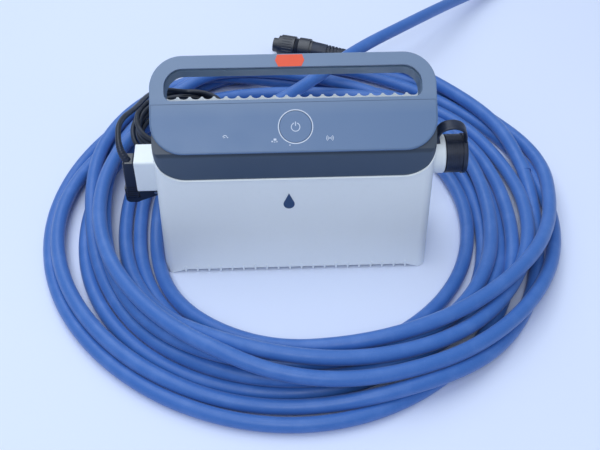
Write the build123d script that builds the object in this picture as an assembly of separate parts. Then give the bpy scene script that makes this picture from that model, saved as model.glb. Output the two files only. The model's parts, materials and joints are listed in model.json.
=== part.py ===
"""Power supply of a pool cleaner, with its mains lead and its coil of floating cable.

Row frame: millimetres, +X to the right of the unit, +Y to its back, +Z up.  The origin is the
bottom centre of the unit's own box, without the cords and what is on them.
"""
from build123d import *
import os
from math import asin, cos, degrees, radians, sin, tan

# ---------------------------------------------------------------- driving dimensions
CASE_WIDTH = 256.0            # white casing, side to side
UNIT_DEPTH = 105.0            # front foot to the back of the handle
FRONT = -UNIT_DEPTH / 2       # Y of the casing's bottom front edge
WALL = 3.0
FRONT_LEAN = 6.9              # degrees, the front leans back
PART_Y = FRONT + 71.3         # parting plane of the two casings
BACK_INNER = FRONT + 84.0     # inner face of the back wall
BACK = FRONT + 91.3           # tips of the cooling fins
SHOULDER_Z = 147.0            # top of the finned casing
FIN_PITCH = 11.38
FIN_GROOVES = 21
GROOVE_RADIUS = 4.8
ARCH_Z = 4.2                  # underside of the front between its corner feet
ARCH_HALF = 108.0
FOOT_X = 122.0                # inner end of a corner foot
BASE_Z = 4.0                  # underside of the base plate
BASE_THICKNESS = 2.5

PLATE_WIDTH = 260.0           # the sloping handle and panel plate
PLATE_LENGTH = 91.2
PLATE_RADIUS = 30.0
PLATE_SLOPE = 37.0            # degrees from level
PLATE_Y = FRONT + 17.0        # its lower edge
PLATE_Z = 140.0
LID_DEPTH = 2.4               # frame web under the panel
FRAME_DEPTH = 8.0             # frame around the hand slot
GRIP_DEPTH = 27.6             # whole depth of the handle
SHOULDER_DEPTH = 25.0         # where the casing's back meets the slot
SLOT_WIDTH = 234.0
SLOT_LOW = 49.2
SLOT_HIGH = 79.0
SLOT_TOP_RADIUS = 17.0
SLOT_LOW_RADIUS = 7.0
SEAM = 46.1                   # upper edge of the panel, along the plate
PANEL_RIM = 1.3
PANEL_THICKNESS = 1.4

BAND_Z = 111.0                # lower edge of the dark band
BAND_HALF = 128.6
BAND_RADIUS = 30.0
BAND_RECESS = 1.0

SCREW_HEIGHTS = (22.0, 68.0, 115.0)
SCREW_X = 119.5

BUTTON_X = 1.0
BUTTON_S = 23.4               # along the plate
BUTTON_RADIUS = 14.6
RING_INNER = 14.95
RING_OUTER = 15.9
BUTTON_TRAVEL = 0.8
STEM_RADIUS = 3.0
STEM_END = 9.0                # depth of the stem's end
BOARD_DEPTH = 13.0            # control board, below the plate's face

SIDE_Y = FRONT + 46.0         # centre line of both side fittings
INLET_Z = 99.0
SHROUD_DEPTH = 27.5
SHROUD_HEIGHT = 37.0
SHROUD_END = -148.8
SOCKET_Z = 108.5
COLLAR_RADIUS = 18.5
COLLAR_END = 141.0
CAP_START = 141.6
CAP_END = 161.4
CAP_RIM = 4.2
CAP_RADIUS = 18.2
CAP_RIM_RADIUS = 19.0
STRAP_WIDTH = 13.0
STRAP_THICKNESS = 2.6

CLIP_PIVOT = (-133.0, 72.0)   # X, Z
CLIP_END = -162.2
CLIP_LOW = 60.0
EAR_HALF = 2.2                # half thickness of the white lug between the clip's prongs

CABLE_DIAMETER = 14.0
LEAD_DIAMETER = 5.4
COIL_CENTRE = (10.0, 8.0)
COIL_OUTER = (266.0, 250.0)   # semi-axes
HOLE_CENTRE = (15.0, -8.0)
HOLE = (152.0, 143.0)
COIL_LOWER = 20.0
COIL_HEIGHT = 38.0
HANK_CENTRE = (-119.0, 121.0)
HANK_OUTER = (50.0, 60.0)
HANK_INNER = (36.0, 32.0)
HANK_LOW = 39.0
HANK_HIGH = 56.0

# routes of the cords where they aren't coiled, as the points of their straight runs
LEAD_ROUTE = [(-163.2, 2.0, 123.0), (-165.6, 18.0, 125.6), (-164.4, 34.0, 123.0),
              (-161.2, 49.0, 118.0), (-157.0, 66.0, 110.0), (-154.4, 84.0, 101.5),
              (-152.2, 102.0, 93.5), (-149.0, 121.0, 85.0), (-143.2, 140.0, 75.0),
              (-134.5, 156.0, 65.0), (-122.7, 167.5, 54.5)]
LEAD_END_ROUTE = [(-77.0, 92.0, 46.0), (-65.0, 82.0, 40.0), (-52.0, 76.0, 32.5),
                  (-38.0, 73.5, 24.0), (-24.0, 74.5, 19.5)]
CABLE_LEAD_ROUTE = [(72.0, 282.8, 14.0), (110.0, 270.5, 9.6), (148.0, 250.0, 7.7),
                    (183.0, 221.0, 7.3), (213.0, 187.0, 7.2), (235.0, 148.0, 7.2),
                    (247.0, 108.0, 7.3)]
CABLE_TAIL_ROUTE = [(-74.0, 138.0, 30.0), (-40.0, 143.0, 41.0), (-6.0, 156.0, 49.5),
                    (28.0, 186.0, 51.5), (60.0, 221.0, 51.0), (94.0, 254.0, 50.0),
                    (134.0, 287.0, 48.0), (174.0, 325.0, 42.0), (213.0, 369.0, 30.0),
                    (254.0, 413.0, 17.0), (296.0, 450.0, 9.2)]

os.makedirs("parts", exist_ok=True)


# ---------------------------------------------------------------- helpers
def keep(shape, node):
    """Write one sub-part."""
    shape.label = node
    export_step(shape, "parts/" + node + ".step")
    return shape


def box(x0, x1, y0, y1, z0, z1):
    """A block between two corners."""
    block = Box(x1 - x0, y1 - y0, z1 - z0)
    return Pos((x0 + x1) / 2, (y0 + y1) / 2, (z0 + z1) / 2) * block


def rod_x(x0, x1, y, z, radius):
    """A round bar along X."""
    return Pos((x0 + x1) / 2, y, z) * Rot(0, 90, 0) * Cylinder(radius, x1 - x0)


def rod_y(x, y0, y1, z, radius):
    """A round bar along Y."""
    return Pos(x, (y0 + y1) / 2, z) * Rot(90, 0, 0) * Cylinder(radius, y1 - y0)


def rod_z(x, y, z0, z1, radius):
    """An upright round bar."""
    return Pos(x, y, (z0 + z1) / 2) * Cylinder(radius, z1 - z0)


def side_prism(points, half_width):
    """A side outline, given as Y and Z, carried across the unit."""
    face = make_face(Plane.YZ * Polyline(*points, close=True))
    return extrude(face, half_width, both=True)


def plate_plane(depth=0.0):
    """The sloping plate's face, or a plane below it."""
    slope = radians(PLATE_SLOPE)
    normal = (0, -sin(slope), cos(slope))
    origin = (0, PLATE_Y + depth * sin(slope), PLATE_Z - depth * cos(slope))
    return Plane(origin=origin, x_dir=(1, 0, 0), z_dir=normal)


def plate_point(s, depth):
    """Y and Z of a point at s along the plate, below its face."""
    slope = radians(PLATE_SLOPE)
    return (PLATE_Y + s * cos(slope) + depth * sin(slope),
            PLATE_Z + s * sin(slope) - depth * cos(slope))


def slab(sketch, top, bottom):
    """A sketch on the plate, carried from one depth to a deeper one."""
    return extrude(plate_plane(top) * sketch, -(bottom - top))


def plate_outline(inset=0.0):
    """The plate's rounded outline."""
    return Pos(0, PLATE_LENGTH / 2) * RectangleRounded(
        PLATE_WIDTH - 2 * inset, PLATE_LENGTH - 2 * inset, PLATE_RADIUS - inset)


def strip(low, high):
    """The part of the plate between two stations along it."""
    return Pos(0, (low + high) / 2) * Rectangle(PLATE_WIDTH + 20, high - low)


def slot_outline(grow=0.0):
    """The hand slot."""
    outline = Pos(0, (SLOT_LOW + SLOT_HIGH) / 2) * Rectangle(
        SLOT_WIDTH + 2 * grow, SLOT_HIGH - SLOT_LOW + grow)
    if grow:
        outline = Pos(0, grow / 2) * outline
    rows = outline.vertices().group_by(Axis.Y)
    outline = fillet(rows[-1], SLOT_TOP_RADIUS + grow)
    return fillet(outline.vertices().group_by(Axis.Y)[0], SLOT_LOW_RADIUS)


def front_y(z, inset=0.0):
    """Y of the leaning front at a height."""
    return FRONT + z * tan(radians(FRONT_LEAN)) + inset


def band_region(inset, y0, y1):
    """The band's rounded outline, open at the top, carried from front to back."""
    half = BAND_HALF - inset
    low = BAND_Z + inset
    outline = Pos(0, low + 60) * Rectangle(2 * half, 120)
    outline = fillet(outline.vertices().group_by(Axis.Y)[0], BAND_RADIUS - inset)
    face = Plane.XZ.offset(-y0) * outline
    return extrude(face, -(y1 - y0))


def ring_x(x0, x1, y, z, outer, inner):
    """A sleeve along X."""
    return rod_x(x0, x1, y, z, outer) - rod_x(x0 - 1, x1 + 1, y, z, inner)


def route_radii(route):
    """The arc at each corner of a route: as large as its two runs allow."""
    points = [Vector(*p) for p in route]
    radii = []
    for before, here, after in zip(points, points[1:], points[2:]):
        turn = (here - before).get_angle(after - here)
        shorter = min((here - before).length, (after - here).length)
        radii.append(0.45 * shorter / tan(radians(turn) / 2))
    return radii


def tube(route, diameter, name):
    """A cord's stretch: straight runs joined by tangent arcs."""
    radii = route_radii(route)
    path = FilletPolyline(*route, radius=radii)
    start = Plane(origin=path @ 0, z_dir=path % 0)
    solid = sweep(start * Circle(diameter / 2), path=path)
    expected = 3.14159265 * diameter ** 2 / 4 * path.length
    print(name, "length", round(path.length, 1), "radii", [round(r) for r in radii],
          "volume ratio", round(solid.volume / expected, 4))
    return solid


def along(origin, direction, start, end, radius, end_radius=None):
    """A bar or cone on an axis, between two distances from its origin."""
    axis = Vector(*direction).normalized()
    base = Vector(*origin) + axis * start
    plane = Plane(origin=base, z_dir=axis)
    if end_radius is None:
        return extrude(plane * Circle(radius), end - start)
    far = Plane(origin=Vector(*origin) + axis * end, z_dir=axis)
    return loft([plane * Circle(radius), far * Circle(end_radius)])


# ---------------------------------------------------------------- casing
SCREWS = [(side * SCREW_X, z) for side in (-1, 1) for z in SCREW_HEIGHTS]
SHELL_OUTLINE = [(FRONT, 0.0), (front_y(134.6), 134.6), plate_point(0.0, LID_DEPTH),
                 plate_point(SLOT_LOW, LID_DEPTH), plate_point(SLOT_LOW, SHOULDER_DEPTH),
                 (PART_Y, SHOULDER_Z), (PART_Y, 0.0)]


def front_edges(shape):
    """The two leaning front edges of a casing prism."""
    return shape.edges().filter_by(
        lambda e: abs(e.center().Y - front_y(67.0)) < 3 and abs(e.center().X) > 100
        and e.length > 100)


def arch_outline():
    """The opening below the front: level in the middle, with an easy curve at each foot."""
    top = Polyline((-FOOT_X, 0), (-ARCH_HALF, ARCH_Z), (ARCH_HALF, ARCH_Z), (FOOT_X, 0),
                   (FOOT_X, -4), (-FOOT_X, -4), close=True)
    outline = make_face(top)
    upper = outline.vertices().group_by(Axis.Y)[-1]
    return fillet(upper, 30.0)


def make_front_shell():
    """Front wall and side walls, with feet at the corners and an open U for the band."""
    outer = side_prism(SHELL_OUTLINE, CASE_WIDTH / 2)
    outer = fillet(front_edges(outer), 8.5)
    inner_points = [(front_y(-5, WALL), -5.0), (front_y(190, WALL), 190.0),
                    (PART_Y + 5, 190.0), (PART_Y + 5, -5.0)]
    inner = side_prism(inner_points, CASE_WIDTH / 2 - WALL)
    inner_front = inner.edges().filter_by(
        lambda e: e.length > 150 and e.center().Y < FRONT + 30 and abs(e.center().X) > 100)
    shell = outer - fillet(inner_front, 6.0)
    shell -= band_region(0.0, FRONT - 5, PART_Y + 1)
    shell -= extrude(Plane.XZ.offset(-(FRONT - 5)) * arch_outline(), -30)
    shell -= box(-130, 130, FRONT + 14, PART_Y + 1, -1, 1.2)
    shell -= box(-130, 130, FRONT - 1, PART_Y + 1, -1, 0.4)
    # short ribs that hang below the front edge
    for index in range(FIN_GROOVES - 1):
        x = (index - (FIN_GROOVES - 2) / 2) * FIN_PITCH
        shell += box(x - 0.9, x + 0.9, FRONT + 0.4, FRONT + 4.2, 0.8, ARCH_Z + 4)
    # screw posts beside the parting plane
    for x, z in SCREWS:
        rib_x = x + (2.7 if x > 0 else -2.7)
        post = rod_y(x, PART_Y - 9, PART_Y, z, 4.2)
        rib = box(rib_x - 3, rib_x + 3, PART_Y - 9, PART_Y - 1.2, z - 1.2, z + 1.2)
        shell += post + rib
        shell -= rod_y(x, PART_Y - 8, PART_Y + 1, z, 1.5)
    # openings for the mains inlet and the output socket
    shell -= box(-131, -122, SIDE_Y - 11.2, SIDE_Y + 11.2, INLET_Z - 16, INLET_Z + 16)
    shell -= rod_x(120, 131, SIDE_Y, SOCKET_Z, 13.2)
    return shell


def make_rear_shell():
    """Back and base, with fins that run down the back and under the base."""
    body = box(-CASE_WIDTH / 2, CASE_WIDTH / 2, PART_Y, BACK, 1.2, SHOULDER_Z)
    corners = body.edges().filter_by(Axis.Z).filter_by(lambda e: e.center().Y > BACK - 1)
    body = fillet(corners, 6.0)
    top_back = body.edges().filter_by(
        lambda e: e.center().Z > SHOULDER_Z - 0.5 and e.center().Y > BACK - 0.5)
    body = fillet(top_back, 1.2)
    body -= box(-CASE_WIDTH / 2 + WALL, CASE_WIDTH / 2 - WALL, PART_Y - 1, BACK_INNER,
                BASE_Z + BASE_THICKNESS, SHOULDER_Z - WALL)
    base = box(-CASE_WIDTH / 2 + WALL + 0.4, CASE_WIDTH / 2 - WALL - 0.4, FRONT + 5.2, PART_Y,
               BASE_Z, BASE_Z + BASE_THICKNESS)
    base = fillet(base.edges().filter_by(Axis.Z).filter_by(lambda e: e.center().Y < 0), 6.0)
    body -= box(-113.5, 113.5, PART_Y - 1, BACK + 1, 0, BASE_Z)
    for side in (-1, 1):
        body -= box(side * 121 - 8, side * 121 + 8, PART_Y - 1, BACK + 1, 0, BASE_Z)
    body += base
    for index in range(FIN_GROOVES - 1):
        x = (index - (FIN_GROOVES - 2) / 2) * FIN_PITCH
        body += box(x - 0.8, x + 0.8, FRONT + 4.6, BACK - 5.3, 1.2, BASE_Z)
    grooves = []
    for index in range(FIN_GROOVES):
        x = (index - (FIN_GROOVES - 1) / 2) * FIN_PITCH
        grooves.append(rod_z(x, BACK, -1, SHOULDER_Z + 1, GROOVE_RADIUS))
    body -= grooves
    for x, z in SCREWS:
        body += rod_y(x, PART_Y, BACK_INNER + 1, z, 4.2)
        body -= rod_y(x, PART_Y - 1, BACK + 1, z, 1.9)
        body -= rod_y(x, BACK - 4.0, BACK + 1, z, 3.4)
    return body


def make_upper_cover():
    """The dark cover: the band in front, the roof under the panel, the wall behind it."""
    points = [(front_y(100, BAND_RECESS), 100.0), (front_y(134.6, BAND_RECESS), 134.6)]
    points += [plate_point(1.2, LID_DEPTH), plate_point(SLOT_LOW, LID_DEPTH)]
    points += [plate_point(SLOT_LOW, SHOULDER_DEPTH), (PART_Y, SHOULDER_Z), (PART_Y, 100.0)]
    outer = side_prism(points, BAND_HALF)
    edges = outer.edges().filter_by(
        lambda e: e.center().Y < FRONT + 20 and abs(e.center().X) > 100 and e.length > 20
        and e.center().Z < 130)
    outer = fillet(edges, 8.0)
    cover = outer & band_region(0.0, FRONT - 5, PART_Y)
    roof = LID_DEPTH + 2.5
    hollow = [(front_y(90, 4.0), 90.0), (front_y(131.5, 4.0), 131.5), plate_point(3.5, roof)]
    hollow += [plate_point(SLOT_LOW - 3, roof), plate_point(SLOT_LOW - 3, SHOULDER_DEPTH)]
    hollow += [(PART_Y - 3, SHOULDER_Z - 3), (PART_Y + 1, SHOULDER_Z - 3), (PART_Y + 1, 90.0)]
    inside = side_prism(hollow, BAND_HALF - 3)
    cover -= inside & band_region(3.0, FRONT - 5, PART_Y + 2)
    cover -= box(-96, 96, FRONT + 22, PART_Y + 1, BAND_Z - 2, BAND_Z + 6)
    cover -= slab(Pos(BUTTON_X, BUTTON_S) * Circle(RING_OUTER), 0, 9)
    cover -= rod_x(90, BAND_HALF + 1, SIDE_Y, SOCKET_Z, 16.0)
    for x, z in SCREWS:
        cover -= box(x - 6.2, x + 6.2, PART_Y - 9.4, PART_Y + 1, z - 4.5, z + 4.5)
    for x in (-66, 66):
        for s in (15, 33):
            cover += slab(Pos(x, s) * Circle(2.5), roof - 0.5, BOARD_DEPTH)
    return cover


def make_case_gasket():
    """A thin seal just inside the parting plane."""
    half = CASE_WIDTH / 2 - WALL
    outer = box(-half, half, PART_Y - 1.0, PART_Y + 1.0, BASE_Z + BASE_THICKNESS, 108.0)
    inner = box(-half + 1.2, half - 1.2, PART_Y - 2, PART_Y + 2, BASE_Z + 4.0, 109.0)
    return outer - inner


# ---------------------------------------------------------------- handle and panel
def make_handle_frame():
    """The plate's front moulding: a rim around the panel and a frame around the slot."""
    frame = slab(plate_outline(), 0, LID_DEPTH)
    frame += slab(plate_outline() & strip(SLOT_LOW, PLATE_LENGTH), LID_DEPTH, FRAME_DEPTH)
    top_edges = frame.edges().filter_by(
        lambda e: abs(plate_plane().to_local_coords(e.center()).Z) < 0.01)
    frame = fillet(top_edges, 1.1)
    frame -= slab(slot_outline(), -1, 2.6)
    frame -= slab(slot_outline(1.6), 2.6, FRAME_DEPTH + 1)
    recess = plate_outline(PANEL_RIM) & strip(0, SEAM)
    frame -= slab(recess, -1, PANEL_THICKNESS)
    frame -= slab(Pos(BUTTON_X, BUTTON_S) * Circle(RING_OUTER), -1, LID_DEPTH + 1)
    return frame


def make_handle_grip():
    """The deep shell behind the frame, round-backed for the fingers."""
    outline = plate_outline(0.6) & strip(SLOT_LOW, PLATE_LENGTH)
    grip = slab(outline, FRAME_DEPTH, GRIP_DEPTH)
    deep = plate_plane(GRIP_DEPTH)
    back_edges = grip.edges().filter_by(
        lambda e: abs(deep.to_local_coords(e.center()).Z) < 0.01
        and deep.to_local_coords(e.center()).Y > SLOT_LOW + 0.5)
    grip = fillet(back_edges, 2.5)
    grip -= slab(slot_outline(), FRAME_DEPTH - 1, GRIP_DEPTH + 1)
    return grip


def make_control_panel():
    """The inlay that carries the button and the indicator marks."""
    outline = plate_outline(PANEL_RIM + 0.15) & strip(0, SEAM - 0.25)
    panel = slab(outline, 0.15, PANEL_THICKNESS)
    panel -= slab(Pos(BUTTON_X, BUTTON_S) * Circle(RING_OUTER), -1, 5)
    for place in INDICATORS:
        panel -= slab(Pos(*place) * Circle(1.6), -1, 5)
    return panel


INDICATORS = [(-62.5, 15.3), (-18.7, 10.6), (-4.5, 6.6), (31.6, 12.2)]


def make_indicator_windows():
    """Small light windows in the panel."""
    windows = [slab(Pos(*place) * Circle(1.6), 0.1, PANEL_THICKNESS) for place in INDICATORS]
    return Compound(children=windows)


def make_power_button():
    """A disc on a stem that reaches the switch."""
    here = Pos(BUTTON_X, BUTTON_S)
    button = slab(here * Circle(BUTTON_RADIUS), 0, 2.2)
    rim = button.edges().filter_by(
        lambda e: abs(plate_plane().to_local_coords(e.center()).Z) < 0.01)
    button = fillet(rim, 0.5)
    button += slab(here * Circle(STEM_RADIUS), 2.2, STEM_END)
    return button - slab(symbol_outline(), -1, 0.35)


def symbol_outline():
    """The usual on-off symbol: a broken ring and a bar."""
    ring = Circle(4.2) - Circle(3.5)
    ring -= Pos(0, 4) * Rectangle(2.6, 4)
    bar = Pos(0, 3.0) * Rectangle(0.8, 4.0)
    return Pos(BUTTON_X, BUTTON_S - 0.4) * (ring + bar)


def make_light_guide():
    """The pale ring around the button, with a floor that guides the stem."""
    here = Pos(BUTTON_X, BUTTON_S)
    guide = slab(here * (Circle(RING_OUTER) - Circle(RING_INNER)), 0.05, 10.5)
    floor = Circle(RING_INNER) - Circle(STEM_RADIUS + 0.5)
    return guide + slab(here * floor, 5.2, 6.6)


def make_control_board():
    """The board under the panel."""
    board = Pos(0, 24.0) * Rectangle(150, 28)
    return slab(board, BOARD_DEPTH, BOARD_DEPTH + 1.6)


def make_tact_switch():
    """The switch that the stem presses."""
    here = Pos(BUTTON_X, BUTTON_S)
    switch = slab(here * Rectangle(6, 6), BOARD_DEPTH - 2.2, BOARD_DEPTH)
    return switch + slab(here * Circle(1.6), STEM_END + 1.1, BOARD_DEPTH - 2.2)


def make_status_leds():
    """One lamp below each indicator window."""
    lamps = []
    for x, s in INDICATORS:
        lamps.append(slab(Pos(x, max(s, 12.0)) * Rectangle(1.6, 2.4), BOARD_DEPTH - 0.9,
                          BOARD_DEPTH))
    return Compound(children=lamps)


def make_ribbon_cable():
    """The flat cable from the control board down to the main board."""
    y, z = plate_point(24.0, BOARD_DEPTH + 1.6)
    width = 12.0
    drop = box(30, 30 + width, MAIN_Y - 0.6, MAIN_Y, 96.0, 118.0)
    shelf = box(30, 30 + width, y, MAIN_Y, 117.4, 118.0)
    riser = box(30, 30 + width, y, y + 0.6, 118.0, z - 0.1)
    return drop + shelf + riser


def make_price_label():
    """A blank sticker on the handle."""
    half = 13.3
    points = [(-half, 84.9), (-half + 2.8, 79.1), (half - 2.8, 79.1), (half, 84.9),
              (half - 2.0, 90.2), (-half + 2.0, 90.2)]
    return slab(Pos(-2.7, 0) * make_face(Polyline(*points, close=True)), -0.25, 0)


# ---------------------------------------------------------------- mark on the front
def make_front_badge():
    """A plain drop-shaped inlay, half a millimetre proud."""
    low = 77.0
    radius = 5.2
    tip = 17.5
    lean = radians(FRONT_LEAN)
    plane = Plane(origin=(-6.0, front_y(low), low), x_dir=(1, 0, 0),
                  z_dir=(0, -cos(lean), sin(lean)))
    touch = degrees(asin(radius / (tip - radius)))
    side_x = radius * cos(radians(touch))
    side_y = radius + radius * sin(radians(touch))
    bowl = ThreePointArc((side_x, side_y), (0, 0), (-side_x, side_y))
    edges = [bowl, Line((-side_x, side_y), (0, tip)), Line((0, tip), (side_x, side_y))]
    return extrude(plane * make_face(edges), 0.5)


# ---------------------------------------------------------------- mains side
def make_inlet_shroud():
    """The square white collar around the mains inlet."""
    half_y = SHROUD_DEPTH / 2
    half_z = SHROUD_HEIGHT / 2
    side = -CASE_WIDTH / 2
    shroud = box(SHROUD_END, side, SIDE_Y - half_y, SIDE_Y + half_y,
                 INLET_Z - half_z, INLET_Z + half_z)
    shroud = fillet(shroud.edges().filter_by(Axis.X), 2.2)
    rim = shroud.edges().filter_by(lambda e: e.center().X < SHROUD_END + 0.1)
    shroud = fillet(rim, 0.8)
    shroud -= box(SHROUD_END - 1, side + 1, SIDE_Y - 11.2, SIDE_Y + 11.2,
                  INLET_Z - 16, INLET_Z + 16)
    shroud += box(CLIP_PIVOT[0] - 3, side, SIDE_Y - EAR_HALF, SIDE_Y + EAR_HALF,
                  CLIP_PIVOT[1] - 3, INLET_Z - half_z + 0.5)
    shroud -= rod_y(CLIP_PIVOT[0], SIDE_Y - 20, SIDE_Y + 20, CLIP_PIVOT[1], 1.5)
    return shroud


def make_mains_inlet():
    """The appliance inlet: a block with a deep pocket for the connector's nose."""
    block = box(SHROUD_END + 2.3, -116, SIDE_Y - 11.1, SIDE_Y + 11.1,
                INLET_Z - 15.9, INLET_Z + 15.9)
    block -= box(SHROUD_END, -131, SIDE_Y - 8.3, SIDE_Y + 8.3, INLET_Z - 12.2, INLET_Z + 12.2)
    wall = -CASE_WIDTH / 2 + WALL
    block += box(wall, wall + 2.5, SIDE_Y - 14, SIDE_Y + 14, INLET_Z - 19, INLET_Z + 19)
    for y, z in PIN_PLACES:
        block -= box(-132, -115, y - 2.0, y + 2.0, z - 1.0, z + 1.0)
    return block


PIN_PLACES = [(SIDE_Y - 2.0, INLET_Z - 7.0), (SIDE_Y - 2.0, INLET_Z + 7.0), (SIDE_Y + 2.0, INLET_Z)]


def make_inlet_pins():
    """Three flat pins."""
    pins = [box(-143.5, -111, y - 2.0, y + 2.0, z - 1.0, z + 1.0) for y, z in PIN_PLACES]
    return Compound(children=pins)


def make_mains_connector():
    """The right-angle connector: a nose in the inlet and a flat body that runs down."""
    nose = box(SHROUD_END - 0.2, -132.0, SIDE_Y - 8.0, SIDE_Y + 8.0, INLET_Z - 12, INLET_Z + 12)
    nose = fillet(nose.edges().filter_by(Axis.X), 2.0)
    body = box(-160.6, SHROUD_END - 0.2, SIDE_Y - 7.3, SIDE_Y + 7.3, 66.5, 112.0)
    body = fillet(body.edges().filter_by(Axis.Y), 2.6)
    body = chamfer(body.edges().filter_by(lambda e: e.center().X < -160.5), 1.0)
    for index in range(5):
        z = 69.5 + index * 2.6
        body -= box(-161, SHROUD_END - 1.2, SIDE_Y - 8, SIDE_Y - 6.7, z, z + 1.2)
        body -= box(-161, SHROUD_END - 1.2, SIDE_Y + 6.7, SIDE_Y + 8, z, z + 1.2)
    connector = nose + body
    for y, z in PIN_PLACES:
        connector -= box(-150, -130, y - 2.3, y + 2.3, z - 1.3, z + 1.3)
    return connector


def make_lead_relief():
    """The tapered sleeve that the mains lead leaves through."""
    start = (-154.6, -9.0, 107.5)
    end = Vector(*LEAD_ROUTE[0])
    direction = end - Vector(*start)
    return along(start, tuple(direction), 0, direction.length, 4.2, LEAD_DIAMETER / 2 + 0.2)


def make_retainer_clip():
    """The bracket that keeps the connector in: an arm below it and a hook outside it."""
    x, z = CLIP_PIVOT
    y0 = SIDE_Y - 6.1
    y1 = SIDE_Y + 6.1
    arm = box(CLIP_END, -150, y0, y1, CLIP_LOW, CLIP_LOW + 5.9)
    rise = make_face(Plane.XZ * Polyline((-152, CLIP_LOW), (x, z - 4), (x, z + 4),
                                         (-148.9, CLIP_LOW + 14), (-152, CLIP_LOW + 5.9),
                                         close=True))
    neck = Pos(0, (y0 + y1) / 2, 0) * extrude(rise, (y1 - y0) / 2, both=True)
    hook = box(CLIP_END, CLIP_END + 1.3, y0, y1, CLIP_LOW, 78.0)
    eye = rod_y(x, y0, y1, z, 4.0)
    clip = arm + hook
    corner = clip.edges().filter_by(Axis.Y).sort_by(Axis.Z)[:1]
    clip = fillet(corner, 4.5) + neck + eye
    clip -= box(-149.5, -128, y0 - 1, y1 + 1, INLET_Z - SHROUD_HEIGHT / 2 - 0.4, 100)
    clip -= box(CLIP_END + 1.3, -148.4, y0 - 1, y1 + 1, 66.1, 100)
    clip -= box(x - 8, x + 8, SIDE_Y - EAR_HALF - 0.4, SIDE_Y + EAR_HALF + 0.4, z - 12, z + 12)
    return clip - rod_y(x, y0 - 1, y1 + 1, z, 1.55)


def make_retainer_pin():
    """The hinge pin of the bracket."""
    return rod_y(CLIP_PIVOT[0], SIDE_Y - 6.6, SIDE_Y + 6.6, CLIP_PIVOT[1], 1.5)


# ---------------------------------------------------------------- output side
def make_socket_collar():
    """The round white collar around the output socket."""
    side = CASE_WIDTH / 2
    collar = rod_x(side, COLLAR_END, SIDE_Y, SOCKET_Z, COLLAR_RADIUS)
    collar = fillet(collar.edges().filter_by(lambda e: e.center().X > COLLAR_END - 0.1), 2.0)
    return collar - rod_x(side - 1, COLLAR_END + 1, SIDE_Y, SOCKET_Z, 13.2)


def make_output_socket():
    """The threaded socket body with its contact wells."""
    end = CAP_END - 6.0
    socket = rod_x(112, end, SIDE_Y, SOCKET_Z, 13.1)
    socket += rod_x(119, 124.6, SIDE_Y, SOCKET_Z, 15.5)
    socket -= rod_x(end - 12, end + 1, SIDE_Y, SOCKET_Z, 10.6)
    for index in range(3):
        x = end - 8.5 + 3 * index
        socket -= ring_x(x, x + 1.2, SIDE_Y, SOCKET_Z, 14.0, 12.4)
    for y, z in CONTACT_PLACES:
        socket -= rod_x(111, end - 11, y, z, 1.2)
    return socket


CONTACT_PLACES = [(SIDE_Y + 5.5 * cos(radians(a)), SOCKET_Z + 5.5 * sin(radians(a)))
                  for a in (90, 210, 330)]


def make_socket_contacts():
    """Three round contacts."""
    pins = [rod_x(106, CAP_END - 8, y, z, 1.2) for y, z in CONTACT_PLACES]
    return Compound(children=pins)


def make_socket_gasket():
    """The seal between the socket's flange and the casing."""
    return ring_x(124.6, CASE_WIDTH / 2 - WALL, SIDE_Y, SOCKET_Z, 15.5, 13.2)


def make_dust_cap():
    """The rubber cap over the socket, with a thick outer rim."""
    cap = rod_x(CAP_START, CAP_END, SIDE_Y, SOCKET_Z, CAP_RADIUS)
    rim_start = CAP_END - CAP_RIM
    cap += rod_x(rim_start, CAP_END, SIDE_Y, SOCKET_Z, CAP_RIM_RADIUS)
    ends = cap.edges().filter_by(lambda e: e.center().X > CAP_END - 0.1)
    cap = fillet(ends, 1.4)
    cap -= rod_x(CAP_START - 1, CAP_END - 4.0, SIDE_Y, SOCKET_Z, 13.5)
    for index in range(6):
        x = CAP_START + 2.2 + 1.9 * index
        cap -= ring_x(x, x + 0.7, SIDE_Y, SOCKET_Z, 19.5, CAP_RADIUS - 0.25)
    return cap - ring_x(rim_start - 1.2, rim_start, SIDE_Y, SOCKET_Z, 19.5, CAP_RADIUS - 0.7)


def make_cap_strap():
    """The loop that ties the cap to the collar."""
    base_z = SOCKET_Z + COLLAR_RADIUS
    outer = [(132.3, base_z + 0.1), (132.5, base_z + 8.0), (135.5, 139.5), (141.0, 143.6),
             (148.0, 144.4), (155.0, 141.6), (159.0, 136.0), (159.8, base_z + 0.8)]
    centre = FilletPolyline(*[(x, 0, z) for x, z in outer], radius=5.0)
    start = Plane(origin=centre @ 0, z_dir=centre % 0, x_dir=(0, 1, 0))
    band = sweep(start * Rectangle(STRAP_WIDTH, STRAP_THICKNESS), path=centre)
    band = Pos(0, SIDE_Y, 0) * band
    band -= rod_x(120, 170, SIDE_Y, SOCKET_Z, CAP_RIM_RADIUS + 0.02)
    foot = ring_x(129.0, 135.2, SIDE_Y, SOCKET_Z, COLLAR_RADIUS + 1.6, COLLAR_RADIUS)
    foot &= box(128, 136, SIDE_Y - 6.5, SIDE_Y + 20, SOCKET_Z, SOCKET_Z + 30)
    return band + foot


# ---------------------------------------------------------------- inside
MAIN_Y = FRONT + 59.0         # front face of the main board; its parts face the front


def make_main_board():
    """The power board."""
    board = box(-104, 104, MAIN_Y, MAIN_Y + 1.6, 14, 106)
    for x, z in STANDOFFS:
        board -= rod_y(x, MAIN_Y - 1, MAIN_Y + 3, z, 1.7)
    return board


STANDOFFS = [(x, z) for x in (-98, 98) for z in (20, 100)]


def make_board_standoffs():
    """Posts between the board and the back wall."""
    posts = []
    for x, z in STANDOFFS:
        foot = rod_y(x, MAIN_Y + 1.6, BACK_INNER, z, 3.5)
        posts.append(foot + rod_y(x, MAIN_Y - 2, MAIN_Y + 2, z, 1.7))
    return Compound(children=posts)


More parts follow.
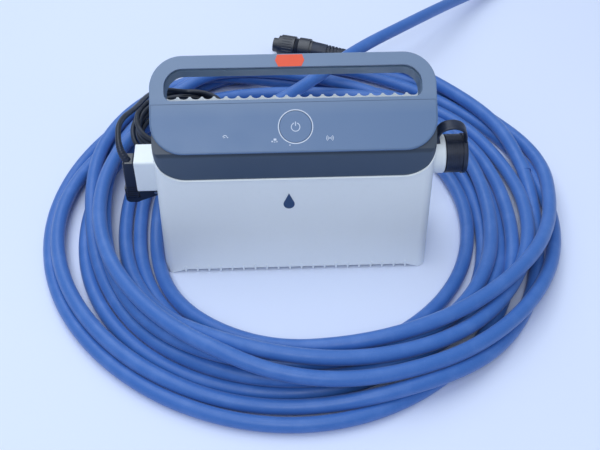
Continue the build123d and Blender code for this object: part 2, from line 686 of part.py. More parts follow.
def make_mains_fuse():
    """A glass fuse with its two clips."""
    fuse = rod_x(-96, -76, MAIN_Y - 6, 34, 2.6)
    for x in (-97, -79):
        fuse += box(x, x + 4, MAIN_Y - 9, MAIN_Y, 30.5, 37.5)
    return fuse


def make_filter_choke():
    """A ring-shaped mains choke standing on the board."""
    ring = Pos(-84, MAIN_Y - 9, 62) * Rot(90, 0, 0) * Torus(10.5, 5.0)
    base = box(-96, -72, MAIN_Y - 4, MAIN_Y, 50, 74)
    return ring + base


def make_bridge_rectifier():
    """A flat block with four legs."""
    block = box(-66, -62, MAIN_Y - 20, MAIN_Y - 3, 70, 92)
    for z in (73, 78, 84, 89):
        block += box(-64.6, -63.4, MAIN_Y - 4, MAIN_Y, z - 0.6, z + 0.6)
    return block


def make_bulk_capacitors():
    """Two large capacitors lying towards the front."""
    cans = [rod_y(x, MAIN_Y - 36, MAIN_Y, 38, 11.5) for x in (-52, -26)]
    return Compound(children=cans)


def make_power_transformer():
    """A core around a wound bobbin."""
    core = box(-4, 40, MAIN_Y - 34, MAIN_Y, 28, 64)
    core -= box(3, 33, MAIN_Y - 29, MAIN_Y - 5, 27, 65)
    core += box(12, 24, MAIN_Y - 30, MAIN_Y - 4, 28, 64)
    return core + rod_z(18, MAIN_Y - 17, 32, 60, 11.8)


def make_heat_spreader():
    """An angle of aluminium between the power parts and the finned wall."""
    foot = box(-60, 60, BACK_INNER - 4, BACK_INNER, 24, 96)
    return foot + box(-60, 60, MAIN_Y + 1.7, BACK_INNER - 4, 86, 90)


def make_output_capacitors():
    """Three smaller capacitors."""
    cans = [rod_y(x, MAIN_Y - 24, MAIN_Y, 84, 6.2) for x in (52, 68, 84)]
    return Compound(children=cans)


def make_output_choke():
    """A wound ring near the output."""
    return Pos(72, MAIN_Y - 6.2, 42) * Rot(90, 0, 0) * Torus(10.0, 6.0)


def make_internal_wires():
    """Two mains wires and two output wires, each a short clear run to the board."""
    wires = []
    for y, z in PIN_PLACES[:2]:
        route = [(-111, y, z), (-106, y, z - 4), (-103, y + 4, z - 9)]
        route.append((-101.5, MAIN_Y - 0.01, z - 14))
        wires.append(tube(route, 2.0, "mains wire"))
    for y, z in CONTACT_PLACES[1:]:
        route = [(106, y, z), (101, y, z - 2), (97.5, y + 4, z - 6), (96, MAIN_Y - 0.01, z - 12)]
        wires.append(tube(route, 2.0, "output wire"))
    return Compound(children=wires)


def make_case_screws():
    """Six screws through the back into the front casing."""
    screws = []
    for x, z in SCREWS:
        shank = rod_y(x, PART_Y - 7, BACK - 4.0, z, 1.5)
        head = rod_y(x, BACK - 4.0, BACK - 1.8, z, 3.1)
        cross = box(x - 2, x + 2, BACK - 2.8, BACK, z - 0.4, z + 0.4)
        cross += box(x - 0.4, x + 0.4, BACK - 2.8, BACK, z - 2, z + 2)
        screws.append(shank + head - cross)
    return Compound(children=screws)


def make_rubber_feet():
    """Four round feet under the base plate."""
    feet = []
    for x in (-118.5, 118.5):
        for y in (FRONT + 11.5, BACK_INNER - 2):
            foot = rod_z(x, y, 0, BASE_Z, 4.8)
            feet.append(chamfer(foot.edges().filter_by(lambda e: e.center().Z < 0.1), 0.8))
    return Compound(children=feet)


# ---------------------------------------------------------------- mains plug
def make_mains_plug():
    """A round two-pin plug that lies behind the unit."""
    x0, y, z = LEAD_END_ROUTE[-1]
    plug = loft([Plane(origin=(x0, y, z), z_dir=(1, 0, 0)) * Circle(4.4),
                 Plane(origin=(x0 + 14, y, z), z_dir=(1, 0, 0)) * Circle(7.5)])
    plug += rod_x(x0 + 14, x0 + 20, y, z, 12.0)
    plug += rod_x(x0 + 20, x0 + 38, y, z, 18.5)
    plug = fillet(plug.edges().filter_by(lambda e: e.center().X > x0 + 37.9), 1.5)
    for pin_y in (y - 9.5, y + 9.5):
        plug -= rod_x(x0 + 30, x0 + 40, pin_y, z, 2.4)
    return plug


def make_mains_plug_pins():
    """Two round pins."""
    x0, y, z = LEAD_END_ROUTE[-1]
    pins = [rod_x(x0 + 30, x0 + 57, y + offset, z, 2.4) for offset in (-9.5, 9.5)]
    return Compound(children=pins)


# ---------------------------------------------------------------- floating cable
CONNECTOR_START = (-17.2, 308.5, 14.2)
CONNECTOR_AXIS = (89.2, -25.7, -0.2)
NOSE_START = 2.6


def on_connector(start, end, radius, end_radius=None):
    """A round piece on the connector's axis."""
    return along(CONNECTOR_START, CONNECTOR_AXIS, start, end, radius, end_radius)


def make_cable_connector():
    """Nose, groove, barrel and back shell of the dry-end connector."""
    body = on_connector(NOSE_START, 8.5, 8.6)
    body += on_connector(8.5, 31.0, 10.4)
    for start in (30.8, 32.4, 34.0):
        body += on_connector(start - 0.2, start + 1.4, 12.0, 11.2)
    body += on_connector(35.2, 49.0, 13.4)
    body += on_connector(49.0, 52.0, 11.5)
    body -= on_connector(-1, 12.0, 6.6)
    return body


def make_connector_contacts():
    """Three sockets inside the nose."""
    axis = Vector(*CONNECTOR_AXIS).normalized()
    plane = Plane(origin=Vector(*CONNECTOR_START) + axis * 6.2, z_dir=axis)
    places = PolarLocations(3.6, 3)
    return Compound(children=[extrude(plane * place * Circle(1.1), 5.8) for place in places])


def make_coupling_ring():
    """The knurled ring that turns on the barrel."""
    ring = on_connector(9.4, 12.6, 12.2) + on_connector(12.6, 30.0, 13.7)
    ring -= on_connector(5, 35, 10.45)
    axis = Vector(*CONNECTOR_AXIS).normalized()
    plane = Plane(origin=Vector(*CONNECTOR_START) + axis * 15.0, z_dir=axis)
    for place in PolarLocations(14.2, 24):
        ring -= extrude(plane * place * Circle(0.9), 12.0)
    return ring


def make_cable_boot():
    """The tapered rubber boot, ribbed towards the cable."""
    length = 92.8
    boot = on_connector(52.0, length, 11.0, CABLE_DIAMETER / 2 + 0.4)
    for index in range(5):
        start = 70.0 + index * 4.2
        groove = on_connector(start, start + 1.8, 14.0) - on_connector(start - 1, start + 3, 7.3)
        boot -= groove
    return boot


def ellipse_ring(outer_centre, outer, inner_centre, inner, z0, z1):
    """A flat ring between two ellipses."""
    ring = Pos(*outer_centre) * Ellipse(*outer) - Pos(*inner_centre) * Ellipse(*inner)
    return extrude(Plane.XY.offset(z0) * ring, z1 - z0)


def make_cable_coil():
    """The outer shape of the loose coil: a wide low ring with a narrower top."""
    lower = ellipse_ring(COIL_CENTRE, COIL_OUTER, HOLE_CENTRE, HOLE, 0, COIL_LOWER)
    top_outer = (COIL_OUTER[0] - 13, COIL_OUTER[1] - 13)
    top_hole = (HOLE[0] + 9, HOLE[1] + 9)
    return lower + ellipse_ring(COIL_CENTRE, top_outer, HOLE_CENTRE, top_hole,
                                COIL_LOWER, COIL_HEIGHT)


def make_lead_coil():
    """The outer shape of the mains lead's small coil."""
    return ellipse_ring(HANK_CENTRE, HANK_OUTER, HANK_CENTRE, HANK_INNER, HANK_LOW, HANK_HIGH)


def swivel_frame():
    """Start and direction of the fittings on the far end."""
    end = Vector(*CABLE_TAIL_ROUTE[-1])
    before = Vector(*CABLE_TAIL_ROUTE[-2])
    return tuple(end), tuple(end - before)


def on_swivel(start, end, radius, end_radius=None):
    """A round piece on the far end's axis."""
    origin, direction = swivel_frame()
    level = (direction[0], direction[1], 0.0)
    return along(origin, level, start, end, radius, end_radius)


def make_swivel_housing():
    """The fixed half of the swivel: boot and sleeve."""
    housing = on_swivel(0, 26, CABLE_DIAMETER / 2 + 0.3, 8.6) + on_swivel(26, 50, 9.0)
    return housing - on_swivel(34, 51, 5.2)


def make_swivel_plug():
    """The turning half: a spindle in the sleeve and the wet-end connector."""
    plug = on_swivel(36, 54, 5.15) + on_swivel(50.4, 58, 9.0)
    plug += on_swivel(58, 74, 7.5) + on_swivel(61, 69, 9.1)
    origin, direction = swivel_frame()
    axis = Vector(direction[0], direction[1], 0).normalized()
    plane = Plane(origin=Vector(*origin) + axis * 73, z_dir=axis)
    plug += [extrude(plane * place * Circle(1.2), 7) for place in PolarLocations(3.6, 3)]
    return plug


# ---------------------------------------------------------------- write every node
keep(make_front_shell(), "front_shell")
keep(make_rear_shell(), "rear_shell")
keep(make_upper_cover(), "upper_cover")
keep(make_case_gasket(), "case_gasket")
keep(make_handle_frame(), "handle_frame")
keep(make_handle_grip(), "handle_grip")
keep(make_control_panel(), "control_panel")
keep(make_indicator_windows(), "indicator_windows")
keep(make_power_button(), "power_button")
keep(slab(symbol_outline(), 0.02, 0.35), "power_symbol")
keep(make_light_guide(), "button_light_guide")
keep(make_control_board(), "control_board")
keep(make_tact_switch(), "tact_switch")
keep(make_status_leds(), "status_leds")
keep(make_ribbon_cable(), "ribbon_cable")
keep(make_price_label(), "price_label")
keep(make_front_badge(), "front_badge")
keep(make_inlet_shroud(), "inlet_shroud")
keep(make_mains_inlet(), "mains_inlet")
keep(make_inlet_pins(), "inlet_pins")
keep(make_mains_connector(), "mains_connector")
keep(make_lead_relief(), "mains_lead_relief")
keep(make_retainer_clip(), "retainer_clip")
keep(make_retainer_pin(), "retainer_pin")
keep(make_socket_collar(), "socket_collar")
keep(make_output_socket(), "output_socket")
keep(make_socket_contacts(), "socket_contacts")
keep(make_socket_gasket(), "socket_gasket")
keep(make_dust_cap(), "dust_cap")
keep(make_cap_strap(), "cap_strap")
keep(make_main_board(), "main_board")
keep(make_board_standoffs(), "board_standoffs")
keep(make_mains_fuse(), "mains_fuse")
keep(make_filter_choke(), "filter_choke")
keep(make_bridge_rectifier(), "bridge_rectifier")
keep(make_bulk_capacitors(), "bulk_capacitors")
keep(make_power_transformer(), "power_transformer")
keep(make_heat_spreader(), "heat_spreader")
keep(make_output_capacitors(), "output_capacitors")
keep(make_output_choke(), "output_choke")
keep(make_internal_wires(), "internal_wires")
keep(make_case_screws(), "case_screws")
keep(make_rubber_feet(), "rubber_feet")
keep(tube(LEAD_ROUTE, LEAD_DIAMETER, "mains lead"), "mains_lead")
keep(make_lead_coil(), "mains_lead_coil")
keep(tube(LEAD_END_ROUTE, LEAD_DIAMETER, "mains lead end"), "mains_lead_end")
keep(make_mains_plug(), "mains_plug")
keep(make_mains_plug_pins(), "mains_plug_pins")
keep(make_cable_connector(), "cable_connector")
keep(make_connector_contacts(), "connector_contacts")
keep(make_coupling_ring(), "coupling_ring")
keep(make_cable_boot(), "cable_boot")
keep(tube(CABLE_LEAD_ROUTE, CABLE_DIAMETER, "cable lead"), "floating_cable_lead")
keep(make_cable_coil(), "floating_cable_coil")
keep(tube(CABLE_TAIL_ROUTE, CABLE_DIAMETER, "cable tail"), "floating_cable_tail")
keep(make_swivel_housing(), "swivel_housing")
keep(make_swivel_plug(), "swivel_plug")
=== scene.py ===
"""Looks of a pool cleaner's power supply, its mains lead and its coil of floating cable.

Everything is in metres in the row frame: +X right, +Y back, +Z up.
"""
import json
import math

import bmesh
import bpy
import numpy as np
from mathutils import Matrix, Vector
from mathutils.bvhtree import BVHTree


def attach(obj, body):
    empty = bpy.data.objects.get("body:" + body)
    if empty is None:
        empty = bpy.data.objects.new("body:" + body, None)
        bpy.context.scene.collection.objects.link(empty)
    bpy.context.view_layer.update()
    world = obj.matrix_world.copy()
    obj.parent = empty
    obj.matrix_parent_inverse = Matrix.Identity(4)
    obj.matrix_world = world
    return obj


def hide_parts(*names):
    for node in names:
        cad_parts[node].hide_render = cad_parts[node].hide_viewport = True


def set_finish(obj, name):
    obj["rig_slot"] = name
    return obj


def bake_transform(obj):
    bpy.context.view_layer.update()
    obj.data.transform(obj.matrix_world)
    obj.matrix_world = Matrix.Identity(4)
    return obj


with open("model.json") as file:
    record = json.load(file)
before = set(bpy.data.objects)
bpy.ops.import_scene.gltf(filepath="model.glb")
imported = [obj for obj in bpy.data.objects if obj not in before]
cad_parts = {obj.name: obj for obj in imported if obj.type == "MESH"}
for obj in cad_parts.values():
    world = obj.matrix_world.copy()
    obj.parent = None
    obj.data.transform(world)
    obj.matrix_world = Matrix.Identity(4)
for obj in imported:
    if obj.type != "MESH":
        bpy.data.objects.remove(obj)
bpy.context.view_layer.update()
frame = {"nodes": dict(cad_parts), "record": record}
NODES = frame["nodes"]
MM = 0.001


def srgb(red, green, blue):
    """Linear colour of an sRGB colour in 0..255."""
    out = []
    for channel in (red, green, blue):
        share = channel / 255
        low = share <= 0.04045
        out.append(share / 12.92 if low else ((share + 0.055) / 1.055) ** 2.4)
    return (*out, 1.0)


# ---------------------------------------------------------------- camera
CAMERA_PLACE = Vector((-0.0212, -0.6649, 0.7000))
CAMERA_PITCH = math.radians(46.08)      # below the horizon
CAMERA_YAW = math.radians(2.344)        # to the right of straight ahead
CAMERA_ROLL = math.radians(0.24)
CAMERA_LENS = 56.32                     # mm on a 36 mm sensor


def make_camera():
    ahead = Vector((math.sin(CAMERA_YAW) * math.cos(CAMERA_PITCH),
                    math.cos(CAMERA_YAW) * math.cos(CAMERA_PITCH), -math.sin(CAMERA_PITCH)))
    level = Vector((math.cos(CAMERA_YAW), -math.sin(CAMERA_YAW), 0))
    up = level.cross(ahead)
    right = level * math.cos(CAMERA_ROLL) + up * math.sin(CAMERA_ROLL)
    top = up * math.cos(CAMERA_ROLL) - level * math.sin(CAMERA_ROLL)
    turn = Matrix((right, top, -ahead)).transposed().to_4x4()
    data = bpy.data.cameras.new("camera")
    data.sensor_width = 36
    data.lens = CAMERA_LENS
    data.clip_start = 0.01
    data.clip_end = 20
    camera = bpy.data.objects.new("camera", data)
    camera.matrix_world = Matrix.Translation(CAMERA_PLACE) @ turn
    bpy.context.scene.collection.objects.link(camera)
    bpy.context.scene.camera = camera


make_camera()


# ---------------------------------------------------------------- cords
def catmull(values, place):
    """A smooth value between the numbers of a list."""
    index = min(int(place), len(values) - 2)
    share = place - index
    at = [values[max(0, min(len(values) - 1, index + k))] for k in (-1, 0, 1, 2)]
    return 0.5 * (2 * at[1] + (at[2] - at[0]) * share
                  + (2 * at[0] - 5 * at[1] + 4 * at[2] - at[3]) * share ** 2
                  + (3 * at[1] - at[0] - 3 * at[2] + at[3]) * share ** 3)


def lay_down(spread, ranks, per_turn, diameter, floor, sweeps=24):
    """Heights of a coil's points: a turn rests on the turns that lie below it at its station."""
    count = len(spread)
    heights = np.full(count, floor)
    for _ in range(sweeps):
        rest = np.full(count, floor)
        for here in range(count):
            for below in range(here % per_turn, count, per_turn):
                gap = abs(spread[here] - spread[below])
                if ranks[below] < ranks[here] and gap < diameter:
                    lift = math.sqrt(diameter ** 2 - gap ** 2)
                    rest[here] = max(rest[here], heights[below] + lift)
        heights = rest.copy()
        for _ in range(3):
            soft = np.convolve(np.pad(heights, 1, mode="edge"), (0.25, 0.5, 0.25), "valid")
            heights = np.maximum(rest, soft)
    return heights


def cord_curve(name, points, diameter):
    """One open NURBS spline through a cord's whole length."""
    curve = bpy.data.curves.new(name, "CURVE")
    curve.dimensions = "3D"
    curve.bevel_depth = 1.0              # times each point's radius
    curve.bevel_resolution = 7
    curve.resolution_u = 6
    curve.use_fill_caps = True
    spline = curve.splines.new("NURBS")
    spline.points.add(len(points) - 1)
    for point, place in zip(spline.points, points):
        point.co = (*place, 1.0)
        point.radius = diameter / 2
    spline.order_u = 3
    spline.use_endpoint_u = True
    piece = bpy.data.objects.new(name, curve)
    bpy.context.scene.collection.objects.link(piece)
    return piece


CABLE_DIAMETER = 0.014
CABLE_CENTRE = (0.010, 0.0)
CABLE_STATIONS = 36                     # points in each turn
BEARINGS = 8                            # distances given for each turn
# distance of each turn from the middle, in mm, at eight bearings clockwise from the back right
TURNS = {
    "lead_in": (268, 239, 234, 219, 233, 248, 246, 257),
    "wide": (259, 257, 227, 205, 194, 204, 222, 204),
    "upper": (206, 189, 188, 184, 198, 201, 238, 230),
    "middle": (211, 198, 200, 197, 204, 214, 256, 232),
    "second": (240, 227, 210, 187, 183, 182, 200, 180),
    "inner": (178, 167, 164, 166, 172, 167, 184, 165),
    "low": (192, 181, 190, 201, 217, 222, 224, 197),
    "outer": (226, 209, 219, 234, 244, 258, 260, 265),
    "last": (276, 250, 196, 169, 160, 150, 166),
}
# from the lowest turn to the highest; three turns change layer past a bearing in degrees
LAYERS = ("outer", "low", "inner", "lead_in", "middle", "upper", "second", "wide", "last")
LAYER_CHANGES = {"lead_in": (8, 20), "middle": (-20, -1), "last": (28, 0)}
BULGE, BULGE_BEARING, BULGE_WIDTH = 9, 19, 12    # mm and degrees, on the last turn
CABLE_START = [(0.072, 0.2828, 0.014), (0.103, 0.2735, 0.0145), (0.132, 0.2575, 0.016),
               (0.160, 0.2335, 0.019)]
CABLE_TAIL = [(-0.074, 0.138, 0.030), (-0.040, 0.143, 0.041), (-0.006, 0.156, 0.0495),
              (0.028, 0.186, 0.0515), (0.060, 0.221, 0.051), (0.094, 0.254, 0.050),
              (0.134, 0.287, 0.048), (0.174, 0.325, 0.042), (0.213, 0.369, 0.030),
              (0.254, 0.413, 0.017), (0.296, 0.450, 0.0092)]


def cable_points():
    """The floating cable: connector, lead-in, loose turns, and the free end."""
    table = [value for row in TURNS.values() for value in row]
    names = list(TURNS)
    steps = CABLE_STATIONS / BEARINGS
    count = int((len(table) - 1) * steps) + 1
    spread, ranks, bearings = [], [], []
    for index in range(count):
        place = index / steps
        turn = names[min(index // CABLE_STATIONS, len(names) - 1)]
        bearing = 45 - 360 * (index % CABLE_STATIONS) / CABLE_STATIONS
        radius = catmull(table, place)
        rank = LAYERS.index(turn) + 1
        if turn in LAYER_CHANGES and bearing > LAYER_CHANGES[turn][0]:
            rank = LAYER_CHANGES[turn][1]
        if turn == "last":
            radius += BULGE * math.exp(-((bearing - BULGE_BEARING) / BULGE_WIDTH) ** 2)
        radius += 0.8 * math.sin(index * 0.71 + 2.0) * math.sin(index * 0.173)
        spread.append(radius * MM)
        ranks.append(rank)
        bearings.append(math.radians(bearing))
    heights = lay_down(spread, ranks, CABLE_STATIONS, CABLE_DIAMETER, CABLE_DIAMETER / 2)
    turns = [(CABLE_CENTRE[0] + radius * math.cos(bearing),
              CABLE_CENTRE[1] + radius * math.sin(bearing), height)
             for radius, bearing, height in zip(spread, bearings, heights)]
    return CABLE_START + turns + CABLE_TAIL


LEAD_DIAMETER = 0.0054
LEAD_STATIONS = 24
HANK_FLOOR = 0.0425
HANK_CENTRE = (-118, 116)
# shapes along the mains lead's coil, a turn apart, in mm: middle, half width and half depth
HANK_TURNS = [(-118, 120, 46.5, 50), (-118, 123.5, 46.5, 57), (-118, 115.5, 44, 51),
              (-118, 112, 45.5, 46), (-118, 108, 42.5, 42), (-118, 117, 52, 56),
              (-118, 112, 56, 50)]
HANK_LAYERS = (6, 5, 4, 3, 2, 0, 1)
HANK_FIRST = 6                          # stations left out where the arch comes down
HANK_LAST = LEAD_STATIONS * 5 + 13      # where the run to the plug leaves
LEAD_START = [(-0.1632, 0.002, 0.123), (-0.1656, 0.018, 0.1256), (-0.1644, 0.034, 0.123),
              (-0.1612, 0.049, 0.118), (-0.157, 0.066, 0.110), (-0.1544, 0.084, 0.1015),
              (-0.1522, 0.102, 0.0935), (-0.149, 0.121, 0.085), (-0.1432, 0.140, 0.075),
              (-0.1345, 0.156, 0.065)]
LEAD_END = [(-0.0695, 0.092, 0.0435), (-0.063, 0.082, 0.040), (-0.052, 0.076, 0.0325),
            (-0.038, 0.0735, 0.024), (-0.024, 0.0745, 0.0195)]


def ellipse_reach(bearing, offset, wide, deep):
    """How far an ellipse reaches from a point inside it; offset is its middle from that point."""
    ahead = math.cos(bearing), math.sin(bearing)
    square = (ahead[0] / wide) ** 2 + (ahead[1] / deep) ** 2
    half = ahead[0] * offset[0] / wide ** 2 + ahead[1] * offset[1] / deep ** 2
    rest = (offset[0] / wide) ** 2 + (offset[1] / deep) ** 2 - 1
    return (half + math.sqrt(half * half - square * rest)) / square


def lead_points():
    """The mains lead: an arch from the connector, a small coil, and the run to the plug."""
    spread, bearings = [], []
    for index in range(HANK_FIRST, HANK_LAST):
        middle_x, middle_y, wide, deep = (
            catmull([turn[k] for turn in HANK_TURNS], index / LEAD_STATIONS) for k in range(4))
        bearing = math.radians(180 - 360 * index / LEAD_STATIONS)
        offset = (middle_x - HANK_CENTRE[0], middle_y - HANK_CENTRE[1])
        spread.append(ellipse_reach(bearing, offset, wide, deep) * MM)
        bearings.append(bearing)
    ranks = [HANK_LAYERS[index // LEAD_STATIONS] for index in range(HANK_FIRST, HANK_LAST)]
    heights = lay_down(spread, ranks, LEAD_STATIONS, LEAD_DIAMETER, HANK_FLOOR)
    turns = [(HANK_CENTRE[0] * MM + reach * math.cos(bearing),
              HANK_CENTRE[1] * MM + reach * math.sin(bearing), height)
             for reach, bearing, height in zip(spread, bearings, heights)]
    return LEAD_START + turns + LEAD_END


cable = cord_curve("floating_cable", cable_points(), CABLE_DIAMETER)
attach(cable, "case")
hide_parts("floating_cable_lead", "floating_cable_coil", "floating_cable_tail")
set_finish(cable, "cable_blue")

lead = cord_curve("mains_cord", lead_points(), LEAD_DIAMETER)
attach(lead, "case")
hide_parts("mains_lead", "mains_lead_coil", "mains_lead_end")
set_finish(lead, "lead_black")


# ---------------------------------------------------------------- small pieces
def add_piece(name, verts, faces, body, slot, smooth=False):
    mesh = bpy.data.meshes.new(name)
    mesh.from_pydata(verts, [], faces)
    piece = bpy.data.objects.new(name, mesh)
    bpy.context.scene.collection.objects.link(piece)
    shape = bmesh.new()
    shape.from_mesh(mesh)
    bmesh.ops.recalc_face_normals(shape, faces=shape.faces)
    shape.to_mesh(mesh)
    shape.free()
    for face in mesh.polygons:
        face.use_smooth = smooth
    if body is not None:
        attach(piece, body)
    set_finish(piece, slot)
    PIECES.append(piece)
    return piece


def band_mesh(stations, corner=0.45, sides=20):
    """A rubber band through stations of (place, across, thickness direction, width, thickness)."""
    verts, faces = [], []
    for place, across, out, width, thickness in stations:
        for k in range(sides):
            turn = math.tau * (k + 0.5) / sides
            u, v = math.cos(turn), math.sin(turn)
            verts.append(place + across * (math.copysign(abs(u) ** corner, u) * width / 2)
                         + out * (math.copysign(abs(v) ** corner, v) * thickness / 2))
    for row in range(len(stations) - 1):
        for k in range(sides):
            a, b = row * sides + k, row * sides + (k + 1) % sides
            faces.append((a, b, b + sides, a + sides))
    faces.append(tuple(range(sides)))
    faces.append(tuple(range(len(verts) - sides, len(verts))))
    return verts, faces


def prism_mesh(origin, along, up, outlines, low, high):
    """Flat outlines given in mm, raised from low to high above a plane."""
    out = along.cross(up)
    verts, faces = [], []
    for outline in outlines:
        first, count = len(verts), len(outline)
        for height in (low, high):
            verts += [origin + (along * x + up * s + out * height) * MM for x, s in outline]
        faces.append(tuple(range(first, first + count)))
        faces.append(tuple(range(first + count, first + 2 * count)))
        for k in range(count):
            n = (k + 1) % count
            faces.append((first + k, first + n, first + n + count, first + k + count))
    return verts, faces


def arc_outline(x, s, inner, outer, start, end, steps=14):
    """A ring segment's outline, angles in degrees."""
    turns = [math.radians(start + (end - start) * k / steps) for k in range(steps + 1)]
    return ([(x + outer * math.cos(t), s + outer * math.sin(t)) for t in turns]
            + [(x + inner * math.cos(t), s + inner * math.sin(t)) for t in reversed(turns)])


def tile_outline(x, s, width, height):
    w, h, c = width / 2, height / 2, min(width, height) * 0.2
    corners = ((w - c, h), (w, h - c), (w, c - h), (w - c, -h), (c - w, -h), (-w, c - h),
               (-w, h - c), (c - w, h))
    return [(x + dx, s + dy) for dx, dy in corners]


PIECES = []
SIDE_Y = -6.5
SOCKET_Z = 108.5


def make_strap():
    """The loop that ties the cap to its collar, thicker on the collar's side."""
    route = [(132.6, 127.0, 3.3), (132.7, 131.0, 3.1), (133.4, 135.5, 2.9), (136.0, 139.9, 2.7),
             (141.0, 142.7, 2.6), (147.6, 143.4, 2.6), (153.8, 141.4, 2.6), (157.6, 137.6, 2.6),
             (159.1, 132.6, 2.5), (159.5, 127.6, 2.6)]
    steps = 40
    stations = []
    for k in range(steps + 1):
        at = k / steps * (len(route) - 1)
        x, z, thickness = (catmull([station[n] for station in route], at) for n in range(3))
        near = max(0.0, at - 0.05), min(len(route) - 1.0, at + 0.05)
        ends = [[catmull([station[n] for station in route], place) for n in (0, 1)]
                for place in near]
        ahead = Vector((ends[1][0] - ends[0][0], 0, ends[1][1] - ends[0][1])).normalized()
        out = Vector((ahead.z, 0, -ahead.x))
        stations.append((Vector((x, SIDE_Y, z)) * MM, Vector((0, 1, 0)), out,
                         13.0 * MM, thickness * MM))
    strap = add_piece("cap_loop", *band_mesh(stations), None, "black_rubber", smooth=True)
    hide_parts("cap_strap")
    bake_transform(strap)
    foot = []
    for k in range(25):
        turn = math.radians(-20 + 110 * k / 24)
        out = Vector((0, math.sin(turn), math.cos(turn)))
        foot.append((Vector((132.1, SIDE_Y, SOCKET_Z)) * MM + out * 19.35 * MM,
                     Vector((1, 0, 0)), out, 6.4 * MM, 1.7 * MM))
    add_piece("cap_loop_foot", *band_mesh(foot), "case", "black_rubber", smooth=True)


def make_relief():
    """The lead's tapered strain relief, ribbed round and bent the way the lead leaves."""
    route = [(-154.6, -9.0, 107.5), (-158.0, -7.8, 113.5), (-160.8, -5.0, 118.4),
             (-162.3, -1.5, 121.3), (-163.3, 2.6, 123.1)]
    rows, sides = 60, 24
    root, tip, groove_depth = 4.2, 2.95, 0.28
    verts, faces = [], []
    for row in range(rows + 1):
        at = row / rows * (len(route) - 1)
        near = max(0.0, at - 0.05), min(len(route) - 1.0, at + 0.05)
        here, first, then = (Vector([catmull([point[n] for point in route], place)
                                     for n in range(3)]) for place in (at, *near))
        ahead = (then - first).normalized()
        side = ahead.cross(Vector((0, 0, 1))).normalized()
        top = side.cross(ahead)
        groove = groove_depth if 8 < row < 54 and row % 6 in (0, 1) else 0.0
        radius = root + (tip - root) * row / rows - groove
        for k in range(sides):
            turn = math.tau * k / sides
            verts.append((here + (side * math.cos(turn) + top * math.sin(turn)) * radius) * MM)
    for row in range(rows):
        for k in range(sides):
            a, b = row * sides + k, row * sides + (k + 1) % sides
            faces.append((a, b, b + sides, a + sides))
    faces.append(tuple(range(sides)))
    faces.append(tuple(range(rows * sides, (rows + 1) * sides)))
    relief = add_piece("lead_relief", verts, faces, "case", "black_rubber", smooth=True)
    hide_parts("mains_lead_relief")


def make_marks():
    """Plain printed marks on the panel and a lighter gleam on the drop."""
    slope = math.radians(37.0)
    up = Vector((0, math.cos(slope), math.sin(slope)))
    origin = Vector((0, -35.5, 140.0)) * MM
    bright = [arc_outline(-62.5, 14.6, 1.7, 2.3, 25, 165),
              arc_outline(-63.0, 14.3, 0.4, 0.9, 10, 190), tile_outline(-60.2, 14.7, 1.2, 0.7),
              tile_outline(-17.8, 11.9, 2.6, 1.9), tile_outline(-20.4, 10.2, 1.3, 1.3),
              tile_outline(-18.2, 9.6, 1.5, 0.6), arc_outline(-16.1, 10.0, 0.3, 0.7, 0, 350),
              arc_outline(-4.5, 6.6, 0.15, 0.6, 0, 350)]
    faint = [arc_outline(31.6, 12.2, 0.1, 0.7, 0, 350)]
    for inner in (1.5, 2.8):
        faint += [arc_outline(31.6, 12.2, inner, inner + 0.55, side - 48, side + 48)
                  for side in (0, 180)]
    along = Vector((1, 0, 0))
    add_piece("panel_marks", *prism_mesh(origin, along, up, bright, -0.12, 0.06), "case",
              "light_plastic")
    add_piece("signal_mark", *prism_mesh(origin, along, up, faint, -0.12, 0.05), "case",
              "light_plastic")
    lean = math.radians(6.9)
    front = Vector((-6.0, -52.5 + 77.0 * math.tan(lean), 77.0)) * MM
    rise = Vector((0, math.sin(lean), math.cos(lean)))
    gleam = [arc_outline(0, 5.4, 2.9, 4.0, 195, 268)]
    add_piece("drop_gleam", *prism_mesh(front, along, rise, gleam, 0.4, 0.58), "case",
              "badge_tone")


def make_lip():
    """The bright bead of the white shell along the dark band."""
    shell = NODES["front_shell"]
    tree = BVHTree.FromPolygons([shell.matrix_world @ vert.co for vert in shell.data.vertices],
                                [tuple(face.vertices) for face in shell.data.polygons])
    radius, half, low = 30.7, 129.3, 110.3
    outline = [(half - radius + radius * math.cos(math.radians(turn)),
                low + radius - radius * math.sin(math.radians(turn))) for turn in range(20, 91, 5)]
    outline = [(-x, z) for x, z in outline] + [(x, z) for x, z in reversed(outline)]
    points = []
    for x, z in outline:
        place = tree.ray_cast(Vector((x * MM, -0.2, z * MM)), Vector((0, 1, 0)))[0]
        if place is not None and place.y < -0.01:
            points.append(tuple(place))
    bead = cord_curve("shell_lip", points, 0.0017)
    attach(bead, "case")
    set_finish(bead, "case_white")
    PIECES.append(bead)


def make_sleeve():
    """A thin sleeve over the first of the cable."""
    sleeve = cord_curve("cable_sleeve", cable_points()[1:8], 0.0149)
    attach(sleeve, "case")
    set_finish(sleeve, "cable_blue")
    PIECES.append(sleeve)


make_strap()
make_relief()
make_marks()
make_lip()
make_sleeve()


